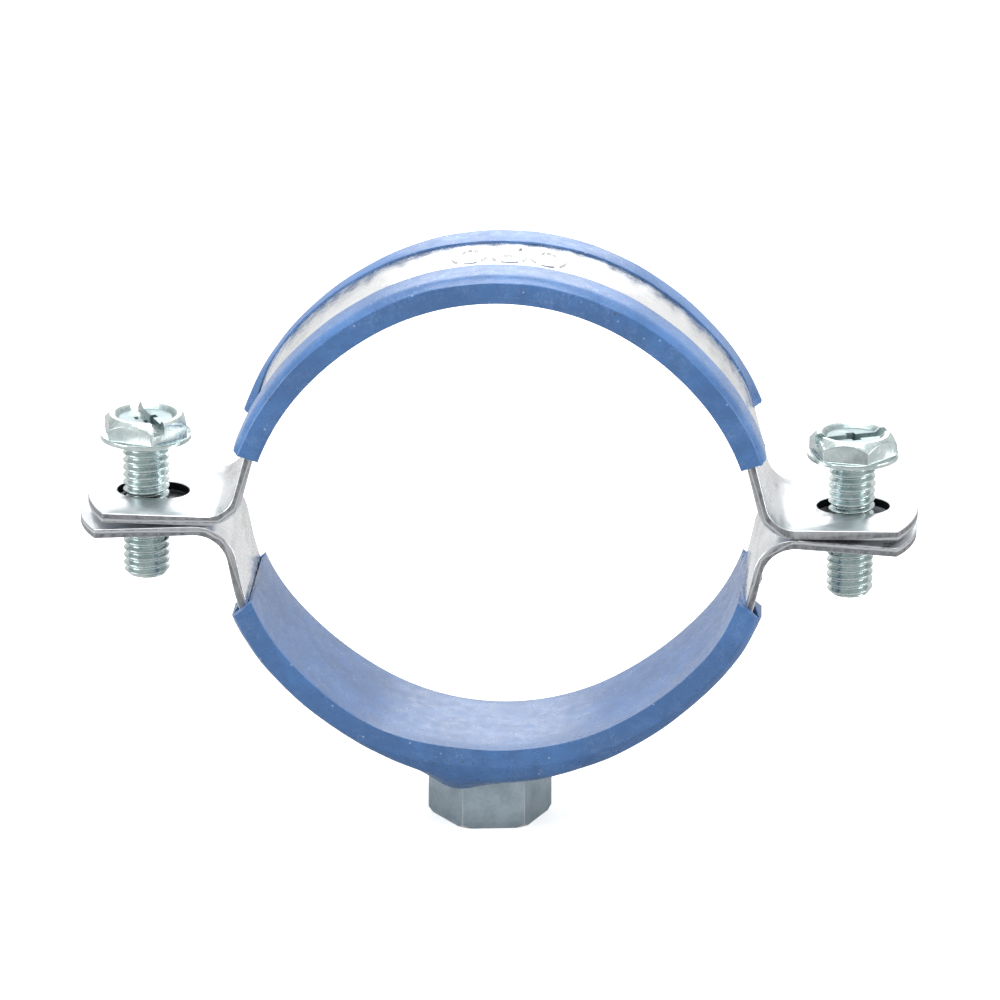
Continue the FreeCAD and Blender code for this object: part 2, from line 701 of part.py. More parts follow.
def make_nut():
    """Hexagon boss with its top cut to the strip's curve and a threaded bore that ends at the strip, with a
    countersink at both ends."""
    prism = doc.addObject("Part::Prism", "nut_blank")
    prism.Polygon = 6
    bind(
        prism,
        Circumradius="sizes.nut_corner_radius",
        Height="sizes.nut_height + sizes.nut_across_flats / 4",
        Placement__Base__x="sizes.nut_offset",
        Placement__Base__z="-sizes.nut_bottom",
    )
    prism.Placement.Rotation = Rotation(Z_AXIS, size("nut_turn"))
    bind(prism, Placement__Rotation__Angle="sizes.nut_turn")
    corner_cone = doc.addObject("Part::Cone", "nut_corner_cone")
    bind(
        corner_cone,
        Radius1="sizes.nut_corner_radius - sizes.nut_corner_cut",
        Radius2="sizes.nut_corner_radius - sizes.nut_corner_cut + sizes.nut_across_flats",
        Height="sizes.nut_across_flats",
        Placement__Base__x="sizes.nut_offset",
        Placement__Base__z="-sizes.nut_bottom",
    )
    chamfered = doc.addObject("Part::MultiCommon", "nut_chamfered")
    chamfered.Shapes = [prism, corner_cone]
    bore = doc.addObject("Part::Cylinder", "nut_bore")
    bind(
        bore,
        Radius="sizes.nut_thread_minor / 2",
        Height="sizes.nut_height + sizes.nut_across_flats / 4",
        Placement__Base__x="sizes.nut_offset",
        Placement__Base__z="-sizes.nut_bottom",
    )
    mouth = doc.addObject("Part::Cone", "nut_mouth")
    bind(
        mouth,
        Radius1="sizes.nut_thread_minor / 2 + sizes.nut_mouth_chamfer",
        Radius2="sizes.nut_thread_minor / 2",
        Height="sizes.nut_mouth_chamfer",
        Placement__Base__x="sizes.nut_offset",
        Placement__Base__z="-sizes.nut_bottom",
    )
    upper_mouth = doc.addObject("Part::Cone", "nut_upper_mouth")
    bind(
        upper_mouth,
        Radius1="sizes.nut_thread_minor / 2",
        Radius2="sizes.nut_thread_minor / 2 + sizes.nut_mouth_chamfer * 2",
        Height="sizes.nut_mouth_chamfer * 2",
        Placement__Base__x="sizes.nut_offset",
        Placement__Base__z="-sizes.nut_top_radius - sizes.nut_mouth_chamfer",
    )
    strip_curve = doc.addObject("Part::Cylinder", "nut_strip_curve")
    strip_curve.Placement = Placement(Vector(), Rotation(Vector(1, 0, 0), 90))
    bind(
        strip_curve,
        Radius="sizes.nut_top_radius",
        Height="sizes.nut_across_flats * 2",
        Placement__Base__y="sizes.nut_across_flats",
    )
    cutters = doc.addObject("Part::MultiFuse", "nut_cutters")
    cutters.Shapes = [bore, mouth, upper_mouth, strip_curve]
    nut = doc.addObject("Part::Cut", "connection_nut")
    nut.Base = chamfered
    nut.Tool = cutters
    nut.Label = "connection_nut"
    return nut


def turned(name, points):
    """A solid of revolution about Z from an outline of radii and heights."""
    sketch = doc.addObject("Sketcher::SketchObject", name + "_profile")
    sketch.Placement = Placement(Vector(), FRONT)
    outline(sketch, points)
    solid = doc.addObject("Part::Revolution", name)
    solid.Source = sketch
    solid.Axis = Z_AXIS
    solid.Angle = 360
    solid.Solid = True
    return solid


def across_head(name, length, width, depth, turn):
    """A straight cut through the screw's head, centred on its axis and turned about it."""
    box = doc.addObject("Part::Box", name)
    bind(box, Length=length, Width=width, Height="sizes.head_height")
    box.Placement = Placement(Vector(), Rotation(Z_AXIS, size(turn.split(".")[1].split(" ")[0])))
    bind(
        box,
        Placement__Rotation__Angle=turn,
        Placement__Base__x="-(%s) / 2 * %s + (%s) / 2 * %s" % (length, cosine(turn), width, sine(turn)),
        Placement__Base__y="-(%s) / 2 * %s - (%s) / 2 * %s" % (length, sine(turn), width, cosine(turn)),
        Placement__Base__z="sizes.head_height - " + depth,
    )
    return box


def make_screw(name, head_turn, slot_turn, side):
    """Hexagon screw, made standing on its washer rim: turned shank and rim, chamfered hexagon with a
    dished, slotted top."""
    stem = turned(name + "_stem", [
        ("zero", "screw_tip"),
        ("tip_radius", "screw_tip"),
        ("shank_radius", "tip_chamfer_top"),
        ("shank_radius", "zero"),
        ("rim_radius", "zero"),
        ("rim_radius", "rim_thickness"),
        ("zero", "rim_thickness"),
    ])
    blank = turned(name + "_head_blank", [
        ("zero", "zero"),
        ("rim_radius", "zero"),
        ("rim_radius", "head_chamfer_start"),
        ("head_top_radius", "head_height"),
        ("dish_radius", "head_height"),
        ("dish_floor_radius", "dish_floor"),
        ("zero", "dish_floor"),
    ])
    hexagon = doc.addObject("Part::Prism", name + "_hexagon")
    hexagon.Polygon = 6
    bind(
        hexagon,
        Circumradius="sizes.head_corner_radius",
        Height="sizes.head_height + sizes.rim_thickness",
    )
    hexagon.Placement.Rotation = Rotation(Z_AXIS, size(head_turn))
    bind(hexagon, Placement__Rotation__Angle="sizes." + head_turn)
    head = doc.addObject("Part::MultiCommon", name + "_head")
    head.Shapes = [blank, hexagon]
    whole = doc.addObject("Part::MultiFuse", name + "_whole")
    whole.Shapes = [stem, head]
    slot = across_head(
        name + "_slot", "sizes.rim_diameter * 1.2", "sizes.slot_cut_width", "sizes.slot_cut_depth",
        "sizes." + slot_turn,
    )
    first_arm = across_head(
        name + "_cross_first", "sizes.cross_length", "sizes.cross_width", "sizes.cross_depth",
        "sizes." + slot_turn,
    )
    second_arm = across_head(
        name + "_cross_second", "sizes.cross_length", "sizes.cross_width", "sizes.cross_depth",
        "sizes.%s + 90" % slot_turn,
    )
    cutters = doc.addObject("Part::MultiFuse", name + "_cutters")
    cutters.Shapes = [slot, first_arm, second_arm]
    screw = doc.addObject("Part::Cut", name)
    screw.Base = whole
    screw.Tool = cutters
    screw.Label = name
    bind(
        screw,
        Placement__Base__x="%ssizes.screw_spread" % ("-" if side == "left" else ""),
        Placement__Base__z="sizes.%s_rest_height" % side,
    )
    return screw


upper_band = make_band("upper", slot_shape)
lower_band = make_band("lower", hole_shape)
upper_liner = make_lining("upper", section_sketch("upper_section", "upper", LIPPED_SECTION))
lower_liner = make_lining("lower", section_sketch("lower_floor", "lower", FLOOR_SECTION), make_flared_sides())
connection_nut = make_nut()
left_screw = make_screw("left_screw", "left_head_turn", "left_slot_turn", "left")
right_screw = make_screw("right_screw", "right_head_turn", "right_slot_turn", "right")

# the upper half lies a little to one side, as its slots allow, and just clear of the lower half
for piece in (upper_band, upper_liner):
    bind(piece, Placement__Base__x="sizes.upper_shift", Placement__Base__z="sizes.ear_gap")
# the lower half is the same shape turned over
for piece in (lower_band, lower_liner):
    piece.Placement = Placement(Vector(), Rotation(Y_AXIS, 180))

doc.recompute()

PIECES = (lower_band, lower_liner, connection_nut, upper_band, upper_liner, left_screw, right_screw)
for item in doc.Objects:
    if "Invalid" in item.State or "Error" in item.State:
        raise RuntimeError("%s failed: %s" % (item.Name, item.State))
for piece in PIECES:
    if piece.Shape.isNull() or not piece.Shape.isValid() or len(piece.Shape.Solids) != 1:
        raise RuntimeError("%s has no single valid solid" % piece.Label)

os.makedirs("parts", exist_ok=True)
for piece in PIECES:
    piece.Shape.exportStep("parts/%s.step" % piece.Label)
    box = piece.Shape.BoundBox
    print(piece.Label, "volume", round(piece.Shape.Volume, 1), "box", [
        round(number, 2) for number in (box.XMin, box.YMin, box.ZMin, box.XMax, box.YMax, box.ZMax)
    ])
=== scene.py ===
"""Looks of the rubber lined pipe clamp: zinc plated strip and screws, blue rubber linings, dull hexagon boss.
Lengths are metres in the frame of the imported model: Z up, Y along the pipe, X towards the right screw."""

import math

import bmesh
import bpy
import numpy as np
from mathutils import Matrix, Vector


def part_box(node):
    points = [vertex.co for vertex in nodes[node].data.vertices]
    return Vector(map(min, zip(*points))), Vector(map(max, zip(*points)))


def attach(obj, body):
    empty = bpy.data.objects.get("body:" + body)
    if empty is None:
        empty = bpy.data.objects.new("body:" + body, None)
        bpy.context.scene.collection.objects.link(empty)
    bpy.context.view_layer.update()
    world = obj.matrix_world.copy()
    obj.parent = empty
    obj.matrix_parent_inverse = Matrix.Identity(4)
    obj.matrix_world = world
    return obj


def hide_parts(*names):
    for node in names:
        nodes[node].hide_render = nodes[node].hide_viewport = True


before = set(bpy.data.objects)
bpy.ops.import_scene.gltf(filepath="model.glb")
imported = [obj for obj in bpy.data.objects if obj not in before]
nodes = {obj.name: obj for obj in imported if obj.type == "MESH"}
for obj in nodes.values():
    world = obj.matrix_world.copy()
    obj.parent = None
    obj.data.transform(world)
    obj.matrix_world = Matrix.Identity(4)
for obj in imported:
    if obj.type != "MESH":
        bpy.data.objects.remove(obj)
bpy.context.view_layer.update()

MM = 0.001
WELD = 0.000002

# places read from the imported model
lower_strip_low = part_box("lower_band")[0]
upper_strip_low, upper_strip_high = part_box("upper_band")
lining_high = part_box("upper_liner")[1]
boss_low, boss_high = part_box("connection_nut")

# strip and lining sizes, as the solids have them
STRIP_THICKNESS = 1.2 * MM
STRIP_HALF = upper_strip_high.y
LINING_HALF = lining_high.y
LINING_PLAY = 0.05 * MM
WALL = 1.8 * MM
CHANNEL_TOP = WALL + STRIP_THICKNESS + 2 * LINING_PLAY
CHANNEL_HALF = STRIP_HALF + LINING_PLAY
SHOULDER = CHANNEL_TOP - 0.35 * MM
KNEE_IN = 1.4 * MM
KNEE_RISE = 0.32 * MM
LIP_EDGE = 5.0 * MM
LIP_THICKNESS = 0.28 * MM
LIP_SINK = 0.05 * MM
LIP_WAVE = 0.03 * MM
FAR_LIP_LIMIT = 8.4 * MM
SEAT_TO_STRIP_OUTSIDE = WALL + LINING_PLAY + STRIP_THICKNESS

EAR_GAP = upper_strip_low.z
UPPER_SHIFT = (upper_strip_low.x + upper_strip_high.x) / 2
LOWER_SEAT = -lower_strip_low.z - SEAT_TO_STRIP_OUTSIDE
UPPER_SEAT = upper_strip_high.z - EAR_GAP - SEAT_TO_STRIP_OUTSIDE

# ears of the strips, and the slots in the upper ones, by distance from the middle
EAR_START = 40 * MM
# on the ears the plating is rougher, and painted shade darkens its colour, rising between these distances
EAR_DULL_AND_SHADE_START = 33.0 * MM
EAR_DULL_AND_SHADE_FULL = 38.0 * MM
# the slots' sheared walls and the lower ear's top under the slots get painted shade
SLOT_MIDDLE = 45.2 * MM
SLOT_REACH = 5.5 * MM
SLOT_HALF = 3.6 * MM
SLOT_FLOOR = 0.08 * MM


def three_arcs(seat, flank_adds, end_adds):
    """Radii of a line round the pipe: its seat, its flank and its end arc, the last two against the first."""
    return seat, seat + flank_adds * MM, seat + end_adds * MM


# angles are counted from the crown
SEAT_ANGLE = math.radians(30)
FLANK_END = math.radians(50)
LINING_END = math.radians(70)
LINES = {
    "lower": three_arcs(LOWER_SEAT, 12.5, -5.8),
    "upper": three_arcs(UPPER_SEAT, 6.0, -0.1),
    "lower_strip": three_arcs(LOWER_SEAT + WALL + LINING_PLAY, 6.6, -5.4),
    "upper_strip": three_arcs(UPPER_SEAT + WALL + LINING_PLAY, 6.1, -13.8),
}
LEG_ANGLES = {"lower": math.radians(78.7), "upper": math.radians(75.6)}
LEG_LENGTH = 8 * MM
STRIP_POINTS = 80

# linear colours
RUBBER_BLUE = (0.043, 0.155, 0.400, 1)
RUBBER_DEEP = (0.030, 0.116, 0.310, 1)
RUBBER_DUST = (0.36, 0.48, 0.70, 1)
RUBBER_PINHOLE_DARK = (0.055, 0.075, 0.10, 1)
ZINC_BRIGHT = (0.90, 0.91, 0.92, 1)
ZINC_CLOUD = (0.80, 0.82, 0.83, 1)
# painted shade: the ears' plating, darker than the rest of the strip
ZINC_EAR_SHADED = (0.70, 0.72, 0.745, 1)
ZINC_EAR_CLOUD_SHADED = (0.60, 0.625, 0.65, 1)
ZINC_TORN = (0.20, 0.205, 0.22, 1)
ZINC_TORN_PALE = (0.34, 0.35, 0.37, 1)
ZINC_BURNISHED = (0.58, 0.60, 0.62, 1)
# painted shade for the slots
SLOT_PAINTED_SHADE = (0.020, 0.022, 0.024, 1)
SCREW_ZINC = (0.62, 0.70, 0.69, 1)
SCREW_SHADE = (0.46, 0.55, 0.55, 1)
# painted shade in the hollow of the screw heads
SCREW_DISH_SHADE = (0.30, 0.37, 0.38, 1)
BOSS_ZINC = (0.48, 0.58, 0.64, 1)
BOSS_DARK = (0.35, 0.43, 0.49, 1)
# rubbed metal and a painted highlight along the boss's rounded corners
BOSS_WORN_HIGHLIGHT = (0.95, 0.96, 0.97, 1)
FLOOR_WHITE = (0.93, 0.93, 0.93, 1)
FLOOR_WHITE_FAINT = (0.95, 0.95, 0.95, 1)
FLOOR_GREY = (0.46, 0.46, 0.46, 1)


def stand(name, data):
    """A new object of the scene that holds the data given."""
    thing = bpy.data.objects.new(name, data)
    bpy.context.scene.collection.objects.link(thing)
    return thing


# The camera of the photograph: 1000 pixels wide, its aim given by where it shows the origin

FOCAL_PIXELS = 7000.0
DISTANCE = 903.70 * MM
AZIMUTH = 0.0410
ELEVATION = 0.3400
ROLL = 0.0094
ORIGIN_PIXEL = (498.10, 507.86)
PHOTO_PIXELS = 1000
SENSOR = 36.0


def make_camera():
    data = bpy.data.cameras.new("camera")
    camera = stand("camera", data)
    back = Vector((
        math.sin(AZIMUTH) * math.cos(ELEVATION),
        -math.cos(AZIMUTH) * math.cos(ELEVATION),
        math.sin(ELEVATION),
    ))
    ahead = -back
    right = ahead.cross(Vector((0, 0, 1))).normalized()
    above = right.cross(ahead)
    aim = Vector((
        (ORIGIN_PIXEL[0] - PHOTO_PIXELS / 2) / FOCAL_PIXELS,
        -(ORIGIN_PIXEL[1] - PHOTO_PIXELS / 2) / FOCAL_PIXELS,
        1,
    )).normalized()
    tilt = Vector((0, 0, 1)).rotation_difference(aim).to_matrix()
    turn = Matrix((
        (math.cos(ROLL), math.sin(ROLL), 0), (-math.sin(ROLL), math.cos(ROLL), 0), (0, 0, 1)
    ))
    axes = tilt @ turn @ Matrix((right, above, ahead))
    columns = Matrix((axes[0], axes[1], -axes[2])).transposed()
    camera.matrix_world = Matrix.Translation(back * DISTANCE) @ columns.to_4x4()
    data.sensor_width = SENSOR
    data.lens = FOCAL_PIXELS / PHOTO_PIXELS * SENSOR
    data.clip_start = 0.05
    data.clip_end = 20
    bpy.context.scene.camera = camera


# Node helpers


class NodeMaker:
    """Adds nodes to one node tree; a value is a number, a colour or another node's output."""

    def __init__(self, tree):
        self.tree = tree

    def put(self, node, name, value):
        socket = node.inputs[name]
        if isinstance(value, bpy.types.NodeSocket):
            self.tree.links.new(value, socket)
        else:
            socket.default_value = value

    def math(self, operation, first, second=0.0, clamp=False):
        node = self.tree.nodes.new("ShaderNodeMath")
        node.operation = operation
        node.use_clamp = clamp
        self.put(node, 0, first)
        self.put(node, 1, second)
        return node.outputs[0]

    def span(self, value, low, high, to_low=0.0, to_high=1.0):
        node = self.tree.nodes.new("ShaderNodeMapRange")
        node.interpolation_type = "SMOOTHSTEP"
        self.put(node, "Value", value)
        self.put(node, "From Min", low)
        self.put(node, "From Max", high)
        self.put(node, "To Min", to_low)
        self.put(node, "To Max", to_high)
        return node.outputs["Result"]

    def stretch(self, vector, scale):
        node = self.tree.nodes.new("ShaderNodeVectorMath")
        node.operation = "MULTIPLY"
        self.put(node, 0, vector)
        self.put(node, 1, scale)
        return node.outputs[0]

    def noise(self, vector, scale, detail=3.0, rough=0.55):
        node = self.tree.nodes.new("ShaderNodeTexNoise")
        self.put(node, "Vector", vector)
        self.put(node, "Scale", scale)
        self.put(node, "Detail", detail)
        self.put(node, "Roughness", rough)
        return node.outputs["Fac"]

    def cells(self, vector, scale, randomness=1.0):
        node = self.tree.nodes.new("ShaderNodeTexVoronoi")
        self.put(node, "Vector", vector)
        self.put(node, "Scale", scale)
        self.put(node, "Randomness", randomness)
        return node

    def mix(self, share, first, second):
        node = self.tree.nodes.new("ShaderNodeMix")
        node.data_type = "RGBA"
        self.put(node, 0, share)
        self.put(node, 6, first)
        self.put(node, 7, second)
        return node.outputs[2]

    def bump(self, height, strength, distance):
        node = self.tree.nodes.new("ShaderNodeBump")
        self.put(node, "Height", height)
        self.put(node, "Strength", strength)
        self.put(node, "Distance", distance)
        return node.outputs["Normal"]

    def split(self, vector):
        node = self.tree.nodes.new("ShaderNodeSeparateXYZ")
        self.put(node, 0, vector)
        return node.outputs[0], node.outputs[1], node.outputs[2]

    def join(self, x, y, z):
        node = self.tree.nodes.new("ShaderNodeCombineXYZ")
        self.put(node, 0, x)
        self.put(node, 1, y)
        self.put(node, 2, z)
        return node.outputs[0]

    def place(self):
        return self.tree.nodes.new("ShaderNodeTexCoord").outputs["Object"]

    def own_map(self):
        return self.tree.nodes.new("ShaderNodeTexCoord").outputs["UV"]

    def attribute(self, name):
        node = self.tree.nodes.new("ShaderNodeAttribute")
        node.attribute_name = name
        return node.outputs["Fac"]

    def group(self, group, **inputs):
        node = self.tree.nodes.new("ShaderNodeGroup")
        node.node_tree = group
        for name, value in inputs.items():
            self.put(node, name, value)
        return node.outputs


def new_group(name, inputs, outputs):
    """An empty shader group: inputs and outputs map a socket's name to its kind."""
    tree = bpy.data.node_groups.new(name, "ShaderNodeTree")
    for socket, kind in inputs.items():
        tree.interface.new_socket(socket, in_out="INPUT", socket_type="NodeSocket" + kind)
    for socket, kind in outputs.items():
        tree.interface.new_socket(socket, in_out="OUTPUT", socket_type="NodeSocket" + kind)
    start = tree.nodes.new("NodeGroupInput")
    end = tree.nodes.new("NodeGroupOutput")
    return tree, NodeMaker(tree), start.outputs, end.inputs


def make_speck_group():
    """Scattered round specks: a mask that is 1 on each speck."""
    tree, s, given, out = new_group(
        "specks", {"Vector": "Vector", "Scale": "Float", "Size": "Float", "Share": "Float"}, {"Mask": "Float"}
    )
    cell = s.cells(given["Vector"], given["Scale"])
    near = s.math("LESS_THAN", cell.outputs["Distance"], given["Size"])
    pick = s.split(cell.outputs["Color"])[0]
    chosen = s.math("LESS_THAN", pick, given["Share"])
    tree.links.new(s.math("MULTIPLY", near, chosen), out["Mask"])
    return tree


def make_scratch_group():
    """Thin broken lines along the second axis of the vector given: a mask that is 1 on each line."""
    tree, s, given, out = new_group(
        "scratches",
        {"Vector": "Vector", "Across": "Float", "Along": "Float", "Share": "Float"},
        {"Mask": "Float"},
    )
    x, y, z = s.split(given["Vector"])
    stretched = s.join(
        s.math("MULTIPLY", x, given["Across"]),
        s.math("MULTIPLY", y, given["Along"]),
        s.math("MULTIPLY", z, given["Across"]),
    )
    lines = s.noise(stretched, 1.0, 2.0, 0.5)
    thin = s.math("ABSOLUTE", s.math("SUBTRACT", lines, 0.5))
    edge = s.span(thin, 0.0, 0.012, 1.0, 0.0)
    breaks = s.noise(given["Vector"], 260.0, 2.0, 0.6)
    kept = s.span(breaks, s.math("SUBTRACT", 1.0, given["Share"]), 1.0)
    tree.links.new(s.math("MULTIPLY", edge, kept, clamp=True), out["Mask"])
    return tree


def make_cloud_group():
    """Soft patches at two scales, as on plated metal and dusty rubber."""
    tree, s, given, out = new_group(
        "clouds", {"Vector": "Vector", "Scale": "Float", "Low": "Float", "High": "Float"}, {"Mask": "Float"}
    )
    wide = s.noise(given["Vector"], given["Scale"], 4.0, 0.6)
    fine = s.noise(given["Vector"], s.math("MULTIPLY", given["Scale"], 6.0), 3.0, 0.6)
    both = s.math("ADD", s.math("MULTIPLY", wide, 0.7), s.math("MULTIPLY", fine, 0.3))
    tree.links.new(s.span(both, given["Low"], given["High"]), out["Mask"])
    return tree


SPECKS = make_speck_group()
SCRATCHES = make_scratch_group()
CLOUDS = make_cloud_group()


def new_material(name):
    material = bpy.data.materials.new(name)
    material.use_nodes = True
    tree = material.node_tree
    surface = tree.nodes["Principled BSDF"]
    return material, NodeMaker(tree), surface


# the mould's parting lines, by their place across the lining
PARTING_LINES = (-4.6 * MM, -3.9 * MM, 4.3 * MM)
PARTING_WANDER = 0.5 * MM
PARTING_CORE = 0.02 * MM
PARTING_HALF = 0.09 * MM


def make_rubber():
    """Satin blue rubber with dust, pinholes, pale specks, fine scratches along the lining and the mould's
    parting lines on its inner face."""
    material, s, surface = new_material("blue_rubber")
    place = s.place()
    along = s.own_map()
    cloud = s.group(CLOUDS, Vector=place, Scale=140.0, Low=0.40, High=0.62)["Mask"]
    colour = s.mix(cloud, RUBBER_DEEP, RUBBER_BLUE)
    powder = s.noise(place, 3600.0, 2.0, 0.7)
    dust = s.group(CLOUDS, Vector=place, Scale=300.0, Low=0.44, High=0.72)["Mask"]
    dust = s.math("MULTIPLY", dust, s.span(powder, 0.42, 0.66))
    colour = s.mix(s.math("MULTIPLY", dust, 0.26), colour, RUBBER_DUST)
    scratch = s.group(SCRATCHES, Vector=along, Across=1900.0, Along=60.0, Share=0.55)["Mask"]
    colour = s.mix(s.math("MULTIPLY", scratch, 0.5), colour, RUBBER_DUST)
    across = s.split(place)[1]
    inner = s.attribute("inward")
    wander = s.math("MULTIPLY", s.math("SUBTRACT", s.noise(along, 90.0, 1.0, 0.5), 0.5), PARTING_WANDER)
    parting = None
    for line in PARTING_LINES:
        away = s.math("ABSOLUTE", s.math("ADD", s.math("SUBTRACT", across, line), wander))
        mark = s.span(away, PARTING_CORE, PARTING_HALF, 1.0, 0.0)
        parting = mark if parting is None else s.math("MAXIMUM", parting, mark)
    parting = s.math("MULTIPLY", parting, s.span(s.noise(along, 160.0), 0.42, 0.60))
    parting = s.math("MULTIPLY", parting, inner)
    colour = s.mix(s.math("MULTIPLY", parting, 0.35), colour, RUBBER_DEEP)
    pale = s.group(SPECKS, Vector=place, Scale=1500.0, Size=0.20, Share=0.06)["Mask"]
    colour = s.mix(s.math("MULTIPLY", pale, 0.7), colour, RUBBER_DUST)
    # pinholes: darker in colour and sunk by the bump
    holes = s.group(SPECKS, Vector=place, Scale=800.0, Size=0.15, Share=0.07)["Mask"]
    colour = s.mix(s.math("MULTIPLY", holes, 0.75), colour, RUBBER_PINHOLE_DARK)
    s.put(surface, "Base Color", colour)
    s.put(surface, "Roughness", s.span(s.noise(place, 700.0), 0.3, 0.7, 0.25, 0.37))
    grain = s.noise(place, 5200.0, 2.0, 0.6)
    height = s.math("SUBTRACT", grain, s.math("MULTIPLY", holes, 2.0))
    height = s.math("SUBTRACT", height, s.math("MULTIPLY", scratch, 0.8))
    height = s.math("SUBTRACT", height, parting)
    s.put(surface, "Normal", s.bump(height, 0.30, 0.00004))
    surface.inputs["IOR"].default_value = 1.70
    surface.inputs["Sheen Weight"].default_value = 0.08
    surface.inputs["Sheen Roughness"].default_value = 0.4
    return material


def make_strip_zinc():
    """Bright zinc plating with faint clouds, rougher on the ears, where painted shade also darkens it; its
    sheared edges are torn and grey with a burnished line, and painted shade makes the slots' sheared walls
    and what shows through the slots dark."""
    material, s, surface = new_material("bright_zinc_strip")
    place = s.place()
    cloud = s.group(CLOUDS, Vector=place, Scale=160.0, Low=0.35, High=0.70)["Mask"]
    plated = s.mix(cloud, ZINC_BRIGHT, ZINC_CLOUD)
    x, y, z = s.split(place)
    out = s.math("ABSOLUTE", x)
    # ears: rougher plating, and painted shade that darkens their colour
    ear_dull_and_shade = s.span(out, EAR_DULL_AND_SHADE_START, EAR_DULL_AND_SHADE_FULL)
    plated = s.mix(ear_dull_and_shade, plated, s.mix(cloud, ZINC_EAR_SHADED, ZINC_EAR_CLOUD_SHADED))
    through = s.attribute("through")
    ragged = s.noise(s.stretch(place, (1.0, 1.0, 0.6)), 1300.0, 3.0, 0.7)
    wander = s.math("MULTIPLY", s.math("SUBTRACT", ragged, 0.5), 0.30)
    depth = s.math("ADD", through, wander)
    cut = s.math("MULTIPLY", s.span(through, 0.03, 0.10), s.span(through, 0.97, 0.90))
    burnished = s.math("MULTIPLY", s.span(depth, 0.10, 0.20), s.span(depth, 0.46, 0.36))
    torn = s.mix(s.span(ragged, 0.35, 0.62), ZINC_TORN, ZINC_TORN_PALE)
    edge = s.mix(burnished, torn, ZINC_BURNISHED)
    middle = s.math("LESS_THAN", s.math("ABSOLUTE", y), SLOT_HALF)
    from_slot = s.math("ABSOLUTE", s.math("SUBTRACT", out, SLOT_MIDDLE))
    in_slot = s.math("MULTIPLY", middle, s.math("LESS_THAN", from_slot, SLOT_REACH))
    under_slot = s.math("LESS_THAN", s.math("ABSOLUTE", z), SLOT_FLOOR)
    colour = s.mix(cut, plated, edge)
    # painted shade: near black on the slots' sheared walls and on the lower ear's top under the slots, where
    # little light gets in
    painted_slot_shade = s.math("MULTIPLY", in_slot, s.math("MAXIMUM", cut, under_slot))
    s.put(surface, "Base Color", s.mix(painted_slot_shade, colour, SLOT_PAINTED_SHADE))
    surface.inputs["Metallic"].default_value = 1.0
    rough = s.span(s.noise(place, 500.0, 3.0, 0.6), 0.3, 0.7, 0.20, 0.32)
    rough = s.math("ADD", rough, s.math("MULTIPLY", ear_dull_and_shade, 0.10))
    s.put(surface, "Roughness", s.math("ADD", rough, s.math("MULTIPLY", cut, 0.25)))
    lines = s.noise(s.stretch(place, (90.0, 1500.0, 90.0)), 1.0, 2.0, 0.5)
    pits = s.group(SPECKS, Vector=place, Scale=700.0, Size=0.16, Share=0.08)["Mask"]
    height = s.math("SUBTRACT", s.math("MULTIPLY", lines, 0.05), pits)
    height = s.math("ADD", height, s.math("MULTIPLY", s.math("MULTIPLY", cut, ragged), 3.0))
    s.put(surface, "Normal", s.bump(height, 0.06, 0.00003))
    return material


def make_screw_zinc():
    """Shiny plating with a faint green tone, drawing lines down the hexagon's flats, and painted shade in the
    hollow of the head.
    """
    material, s, surface = new_material("green_zinc_screw")
    place = s.place()
    cloud = s.group(CLOUDS, Vector=place, Scale=420.0, Low=0.38, High=0.66)["Mask"]
    base = s.mix(cloud, SCREW_ZINC, SCREW_SHADE)
    dish = s.attribute("dish")
    # painted shade: the hollow of the head is darker, and also rougher
    s.put(surface, "Base Color", s.mix(dish, base, SCREW_DISH_SHADE))
    surface.inputs["Metallic"].default_value = 1.0
    rough = s.span(s.noise(place, 900.0), 0.3, 0.7, 0.14, 0.28)
    s.put(surface, "Roughness", s.math("ADD", rough, s.math("MULTIPLY", dish, 0.14)))
    lines = s.noise(s.stretch(place, (3600.0, 3600.0, 160.0)), 1.0, 2.0, 0.5)
    s.put(surface, "Normal", s.bump(lines, 0.35, 0.00004))
    return material


def make_boss_zinc():
    """Dull grey plating, paler along its corners, which are rubbed and carry a painted highlight."""
    material, s, surface = new_material("dull_zinc_boss")
    place = s.place()
    cloud = s.group(CLOUDS, Vector=place, Scale=320.0, Low=0.35, High=0.68)["Mask"]
    base = s.mix(cloud, BOSS_ZINC, BOSS_DARK)
    wear_and_highlight_share = s.attribute("wear_and_highlight")
    # rubbing and a painted highlight: the middle of the rounded corners is near white
    s.put(surface, "Base Color", s.mix(wear_and_highlight_share, base, BOSS_WORN_HIGHLIGHT))
    surface.inputs["Metallic"].default_value = 0.75
    s.put(surface, "Roughness", s.span(s.noise(place, 500.0, 4.0), 0.3, 0.7, 0.30, 0.46))
    lines = s.noise(s.stretch(place, (1500.0, 1500.0, 120.0)), 1.0, 2.0, 0.5)
    pits = s.noise(place, 2600.0, 3.0, 0.7)
    s.put(surface, "Normal", s.bump(s.math("ADD", lines, s.math("MULTIPLY", pits, 0.8)), 0.35, 0.00004))
    return material


# Meshes


def shade_smooth(mesh):
    for polygon in mesh.polygons:
        polygon.use_smooth = True


def as_mesh(piece):
    """Applies the piece's modifiers, so that a plain mesh is left."""
    depsgraph = bpy.context.evaluated_depsgraph_get()
    made = bpy.data.meshes.new_from_object(piece.evaluated_get(depsgraph))
    piece.modifiers.clear()
    piece.data = made
    return piece


